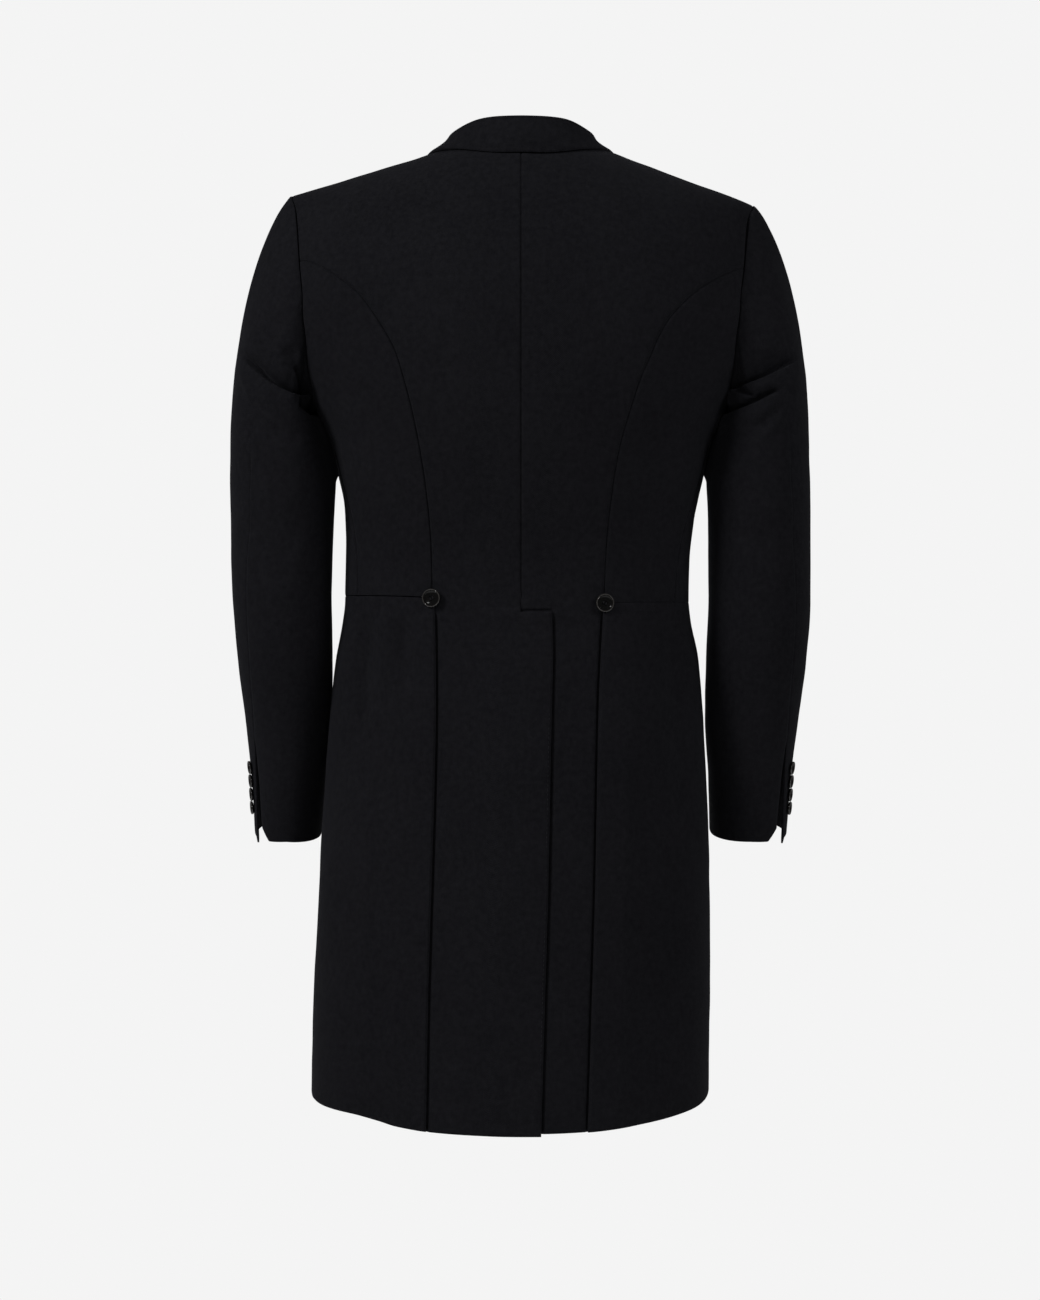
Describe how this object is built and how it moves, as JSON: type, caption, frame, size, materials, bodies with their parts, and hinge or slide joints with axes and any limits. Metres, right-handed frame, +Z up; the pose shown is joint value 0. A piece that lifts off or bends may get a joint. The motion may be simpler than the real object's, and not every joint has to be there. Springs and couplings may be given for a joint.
{
  "type": "morning coat",
  "caption": "Dark morning coat in its worn shape: hollow body, peaked lapels, cutaway skirts, side pleats and a hooked centre vent behind, buttoned cuffs.",
  "frame": {"origin": "middle of the neck opening at the height of the shoulder seam's neck end, where the wearer holds the coat up", "axes": "+Z up along the wearer, +Y out of the wearer's back, +X to the wearer's left; the coat's front faces -Y"},
  "size_m": [0.5799, 0.2567, 1.0025],
  "materials": {
    "cloth": "matte",
    "button": "gloss"
  },
  "bodies": {
    "root": {"back_left": "cloth", "side_body_left": "cloth", "forepart_left": "cloth", "lapel_left": "cloth", "skirt_left": "cloth", "top_sleeve_left": "cloth", "under_sleeve_left": "cloth", "back_right": "cloth", "side_body_right": "cloth", "forepart_right": "cloth", "lapel_right": "cloth", "skirt_right": "cloth", "top_sleeve_right": "cloth", "under_sleeve_right": "cloth", "collar": "cloth", "waist_button_left": "button", "waist_button_right": "button", "front_button": "button", "cuff_button_left_1": "button", "cuff_button_left_2": "button", "cuff_button_left_3": "button", "cuff_button_left_4": "button", "cuff_button_right_1": "button", "cuff_button_right_2": "button", "cuff_button_right_3": "button", "cuff_button_right_4": "button"}
  },
  "joints": []
}
